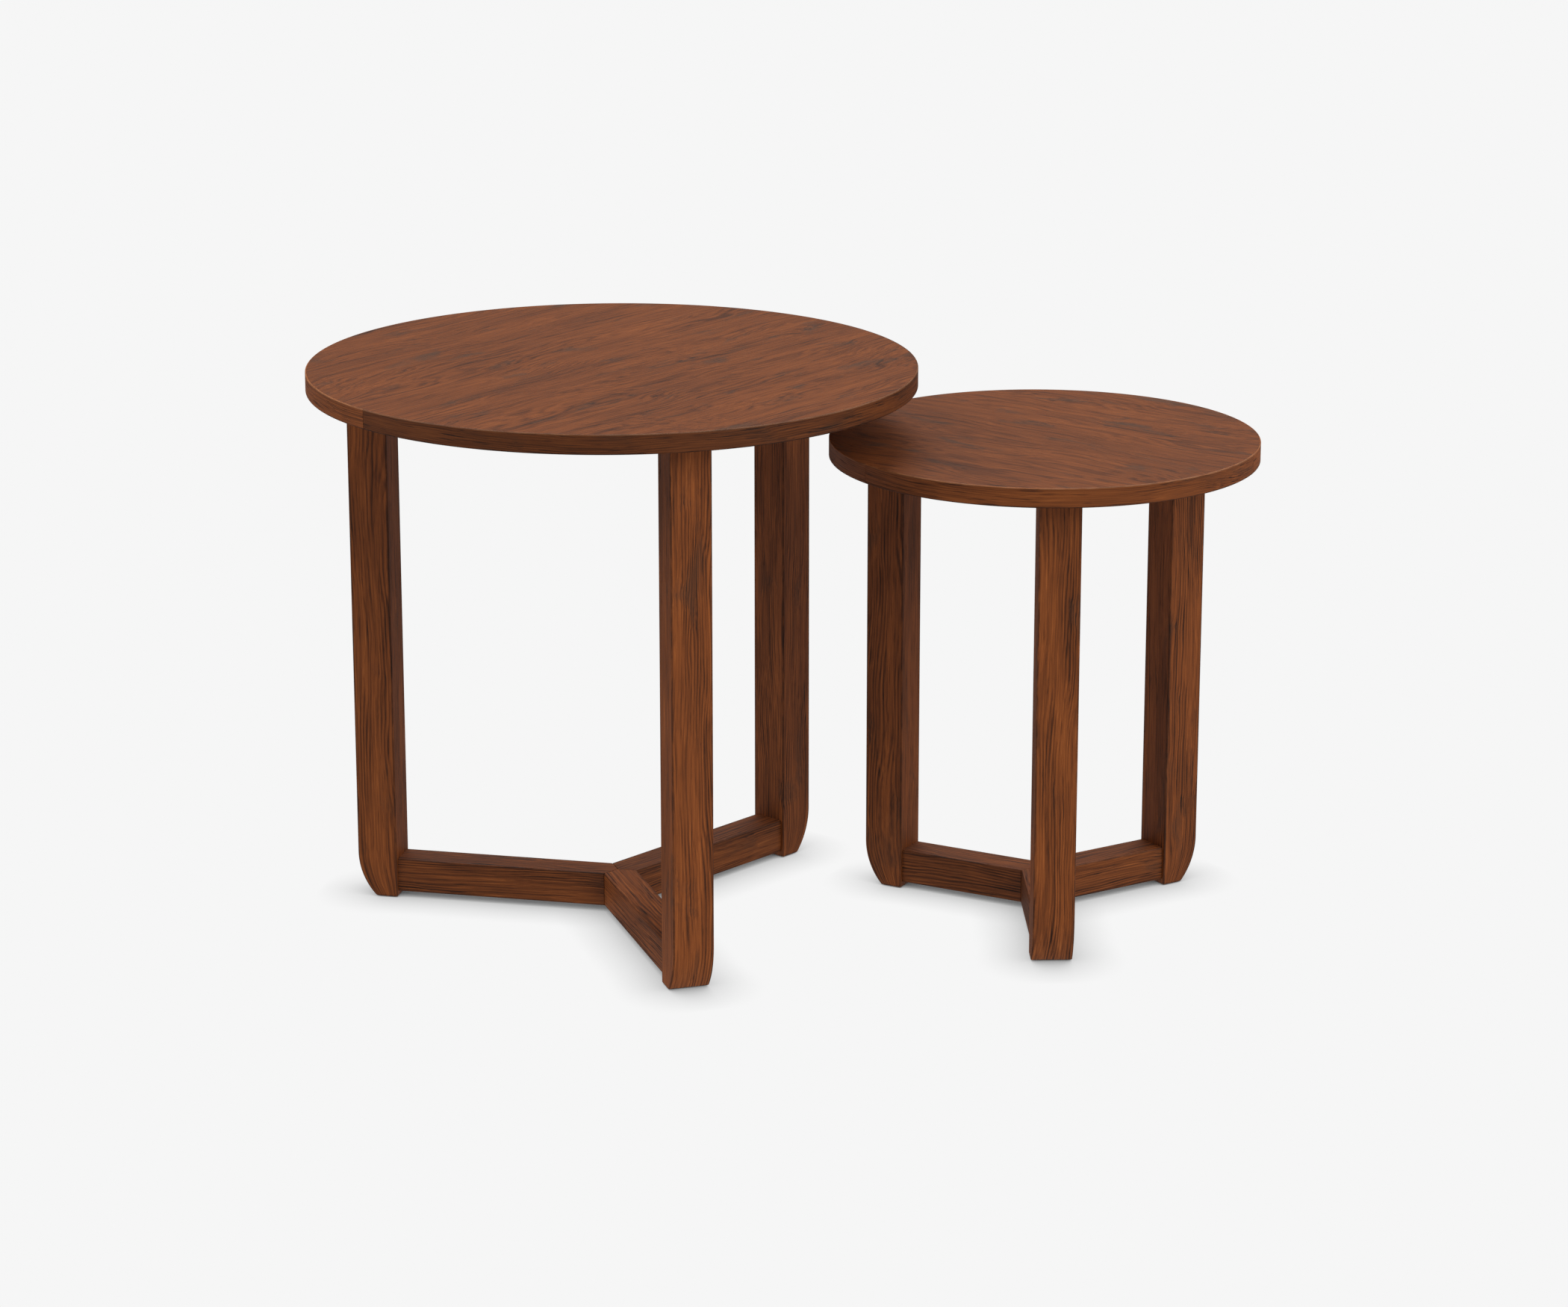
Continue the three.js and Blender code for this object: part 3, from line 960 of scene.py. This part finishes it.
def build_table(facts, seed):
    """The top, its edge band, the hub plate and the three arms of one table."""
    table = facts["name"]
    centre = facts["centre"]

    turn = GRAIN_TURN[table]
    c, s = math.cos(turn), math.sin(turn)
    mesh = board(facts)
    z0 = facts["panel"][0]
    for arm in facts["arms"].values():
        holes = []
        bolt_at = arm["leg_centre"] - BOLT_BACK
        dowel_at = arm["leg_centre"] + DOWEL_OUT
        for at, radius in ((bolt_at, INSERT_RADIUS), (dowel_at, DOWEL_RADIUS)):
            hole = drill(at, radius + HOLE_GAP, z0 - OVERCUT, z0 + TOP_HOLE_DEPTH + HOLE_GAP)
            holes.append(place(hole, arm["angle"]))
        mesh = cut(mesh, holes)
    grain = timber(
        lambda p: p[:, 0] * c + p[:, 1] * s,
        lambda p: -p[:, 0] * s + p[:, 1] * c,
        axis(2),
        seed,
        PANEL_HEART[table],
    )
    finish_mesh(mesh, grain, TONE_AND_SHADING[f"{table}_top_panel"])
    place(mesh, 0, centre)
    add_piece(f"{table}_top", mesh, panel_wood, table, [f"{table}_top_panel"])

    bands = sorted(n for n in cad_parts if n.startswith(f"{table}_rim_band_"))
    radius = facts["radius"]
    gap = SEAM / radius
    for k, node in enumerate(bands):
        start, end = band_ends(node, centre)
        mesh = band(facts, start + gap, end - gap)
        grain = timber(
            lambda p: arc_of(p, (start + end) / 2) * radius,
            axis(2),
            lambda p: np.hypot(p[:, 0], p[:, 1]),
            seed + 3 + k,
            BAND_HEART,
        )
        finish_mesh(mesh, grain, TONE_AND_SHADING[node])
        place(mesh, 0, centre)
        add_piece(f"{table}_edge_band_{k + 1}", mesh, rim_wood, table, [node])

    for i, (name, arm) in enumerate(facts["arms"].items()):
        build_arm(facts, name, arm, seed + 10 + 3 * i)

    node = f"{table}_hub_plate"
    low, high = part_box(node)
    mesh = hub_plate(hub_reach(node, centre), low.z, high.z)
    finish_mesh(mesh, lambda p: p, 1.0)
    place(mesh, facts["arms"]["front"]["angle"], centre)
    add_piece(f"{table}_hub", mesh, zinc_steel, table, [node])


def arc_of(points, about):
    """Each point's direction from the centre in radians, within half a turn of about."""
    raw = np.arctan2(points[:, 1], points[:, 0])
    return about + (raw - about + math.pi) % (2 * math.pi) - math.pi


def hub_reach(node, centre):
    """How far the hub plate's arms reach, from the farthest vertex of its CAD node."""
    co = points_of(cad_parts[node].data)
    far = np.hypot(co[:, 0] - centre.x, co[:, 1] - centre.y).max()
    return math.sqrt(far**2 - HUB_ARM_HALF**2)


def band_ends(node, centre):
    """The angles at which a strip starts and ends, from its CAD node's vertices."""
    co = points_of(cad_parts[node].data)
    angles = np.unique(np.round(np.arctan2(co[:, 1] - centre.y, co[:, 0] - centre.x), 5))
    gaps = np.diff(np.append(angles, angles[0] + 2 * math.pi))
    k = int(np.argmax(gaps))
    start = angles[(k + 1) % len(angles)]
    end = angles[k]
    return start, end if end >= start else end + 2 * math.pi


def build_arm(facts, name, arm, seed):
    """One post and its base arm, with the tenon, dowel, screws, insert and glide of the two."""
    table = facts["name"]
    turn, centre = arm["angle"], facts["centre"]
    at = arm["leg_centre"]
    z_low, z_high = facts["stretcher"]
    z_middle = (z_low + z_high) / 2
    bolt_at, dowel_at = at - BOLT_BACK, at + DOWEL_OUT
    inner = at - LEG_SIZE / 2

    def done(piece, mesh, material, grain, tone_and_shading=1.0):
        finish_mesh(mesh, grain, tone_and_shading)
        place(mesh, turn, centre)
        node = f"{table}_{name}_{piece}"
        add_piece(f"{table}_{name}_{PIECE_NAMES[piece]}", mesh, material, table, [node])

    def node_z(piece):
        low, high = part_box(f"{table}_{name}_{piece}")
        return low.z, high.z

    glide_low, glide_high = node_z("glide")
    glide_at = inner + (LEG_SIZE - TOE_INSET) / 2
    bolt_low, bolt_high = node_z("bolt")
    dowel_low, dowel_high = node_z("dowel")
    mesh = cut(place(leg(arm), 0, (at, 0, 0)), [
        drill(glide_at, GLIDE_RADIUS + SNUG_GAP, -OVERCUT, glide_high + SNUG_GAP),
        drill(bolt_at, BOLT_RADIUS + HOLE_GAP, bolt_low - HOLE_GAP, bolt_high),
        drill(dowel_at, DOWEL_RADIUS + HOLE_GAP, dowel_low - HOLE_GAP, dowel_high + 0.01),
        tenon(inner, z_middle, HOLE_GAP),
    ])

    def through(p):  # the fibres bend in with the toe
        x = p[:, 0] - inner
        thick = LEG_SIZE - toe_inset(p[:, 2], arm["leg_bottom"])
        return x * LEG_SIZE / thick - LEG_SIZE / 2

    grain = timber(axis(2), axis(1), through, seed)
    done("leg", mesh, leg_wood, grain, LEG_TONE_AND_SHADING[table, name])

    half = HUB_ARM_HALF + SNUG_GAP
    mesh = cut(stretcher(facts, arm), [
        tenon(inner, z_middle, HOLE_GAP),
        hub_prism(half, HUB_GROOVE_REACH, z_low - OVERCUT, z_low + HUB_GROOVE),
        drill(SCREW_AT, SCREW_SHANK + HOLE_GAP, z_low - OVERCUT, z_low + SCREW_HOLE_DEPTH),
    ])
    grain = timber(axis(0), axis(1), axis(2), seed + 1)
    done("stretcher", mesh, stretcher_wood, grain, STRETCHER_TONE_AND_SHADING[table, name])

    along_x = timber(axis(0), axis(1), axis(2), seed + 2, SMALL_HEART)
    along_z = timber(axis(2), axis(0), axis(1), seed + 2, SMALL_HEART)
    done("tenon", tenon(inner, z_middle), beech, along_x)
    done("dowel", dowel(dowel_at, dowel_low, dowel_high), beech, along_z)
    done("bolt", leg_bolt(bolt_at, bolt_low, bolt_high), zinc_steel, along_z)
    done("insert", insert(bolt_at, *node_z("insert")), brass, along_z)
    done("hub_screw", hub_screw(SCREW_AT, *node_z("hub_screw")), zinc_steel, along_z)
    done("glide", glide(glide_at, glide_low, glide_high), nylon_black, along_z)


for k, table in enumerate(TABLES):
    build_table(table_facts(table), 1 + 40 * k)

# ----------------------------------------------------------------------- stage

BACKDROP = 0.9216  # the pale studio white
BOUNCE = 0.68  # what the floor throws back up at the tables
BOUNCE_Z = -0.0005
AMBIENT = 0.10
FLOOR_SHEEN = 0.19  # what the floor and the air above it lend to the varnish's sheen
SKY_SHEEN = 0.06
FLOOR_HALF = 40.0
CONTACT = 0.052  # how far the soft shade round a foot reaches
CONTACT_CURVE = 0.66
LIGHT_SPREAD = 45


def plane(name, z, material):
    """A large level sheet for the stage."""
    h = FLOOR_HALF
    mesh = bpy.data.meshes.new(name)
    mesh.from_pydata([(-h, -h, z), (h, -h, z), (h, h, z), (-h, h, z)], [], [(0, 1, 2, 3)])
    mesh.materials.append(material)
    made = bpy.data.objects.new(name, mesh)
    bpy.context.scene.collection.objects.link(made)
    return made


def pale_floor():
    """Two glowing sheets.

    The camera sees one, which shades softly where something stands on it. The other, which it
    can't see, lights the tables from below.
    """
    material, g, glow = new_material("studio_floor", "ShaderNodeEmission")
    occlusion = g.node("ShaderNodeAmbientOcclusion", {"Distance": CONTACT}, samples=16)
    shade = g.math("POWER", occlusion.outputs["AO"], CONTACT_CURVE)
    g.feed(glow.inputs["Strength"], g.math("MULTIPLY", shade, BACKDROP))
    floor = plane("floor", 0.0, material)
    floor.visible_diffuse = False
    floor.visible_glossy = False
    floor.visible_shadow = False
    material, g, glow = new_material("floor_bounce", "ShaderNodeEmission")
    mirrored = g.node("ShaderNodeLightPath").outputs["Is Glossy Ray"]
    g.feed(glow.inputs["Strength"], g.math("MULTIPLY_ADD", mirrored, FLOOR_SHEEN - BOUNCE, BOUNCE))
    bounce = plane("bounce", BOUNCE_Z, material)
    bounce.visible_camera = False
    bounce.visible_shadow = False


def soft_light(name, azimuth, elevation, strength):
    """A distant soft light. azimuth is where it comes from in plan, in degrees from +X."""
    data = bpy.data.lights.new(name, "SUN")
    data.energy = strength
    data.angle = math.radians(LIGHT_SPREAD)
    light = bpy.data.objects.new(name, data)
    a, e = math.radians(azimuth), math.radians(elevation)
    towards = Vector((math.cos(a) * math.cos(e), math.sin(a) * math.cos(e), math.sin(e)))
    light.rotation_mode = "QUATERNION"
    light.rotation_quaternion = towards.to_track_quat("Z", "Y")
    bpy.context.scene.collection.objects.link(light)


def studio():
    """The floor, the lights, the world and the view transform."""
    pale_floor()
    soft_light("key", -45, 40, 1.55)
    soft_light("fill", -178, 40, 1.50)
    soft_light("side", 0, 20, 0.48)
    soft_light("rim", 45, 40, 0.46)
    soft_light("back", 90, 65, 1.75)
    world = bpy.data.worlds.new("studio")
    bpy.context.scene.world = world
    world.use_nodes = True
    world.node_tree.nodes.clear()
    g = Graph(world.node_tree)
    path = g.node("ShaderNodeLightPath").outputs
    around = g.math("MULTIPLY_ADD", path["Is Glossy Ray"], SKY_SHEEN - AMBIENT, AMBIENT)
    ambient = g.node("ShaderNodeBackground", {"Color": WHITE, "Strength": around})
    seen = g.node("ShaderNodeBackground", {"Color": WHITE, "Strength": BACKDROP})
    inputs = {0: path["Is Camera Ray"], 1: ambient.outputs[0], 2: seen.outputs[0]}
    both = g.node("ShaderNodeMixShader", inputs)
    g.node("ShaderNodeOutputWorld", {"Surface": both.outputs[0]})
    view = bpy.context.scene.view_settings
    view.view_transform = "Standard"
    view.look = "None"
    view.exposure = 0.0
    view.gamma = 1.0


def camera():
    """A long lens in front of the pair, at the photograph's distance, looking slightly down."""
    data = bpy.data.cameras.new("camera")
    data.sensor_width = 36.0
    data.lens = 102.4
    data.clip_start, data.clip_end = 0.1, 200
    made = bpy.data.objects.new("camera", data)
    yaw, pitch = math.radians(0.84), math.radians(16.07)
    made.location = (-0.0592, -3.998, 1.401)
    level_x, level_y = math.sin(yaw), math.cos(yaw)
    aim = Vector((level_x * math.cos(pitch), level_y * math.cos(pitch), -math.sin(pitch)))
    made.rotation_mode = "QUATERNION"
    made.rotation_quaternion = aim.to_track_quat("-Z", "Y")
    bpy.context.scene.collection.objects.link(made)
    bpy.context.scene.camera = made


studio()
camera()
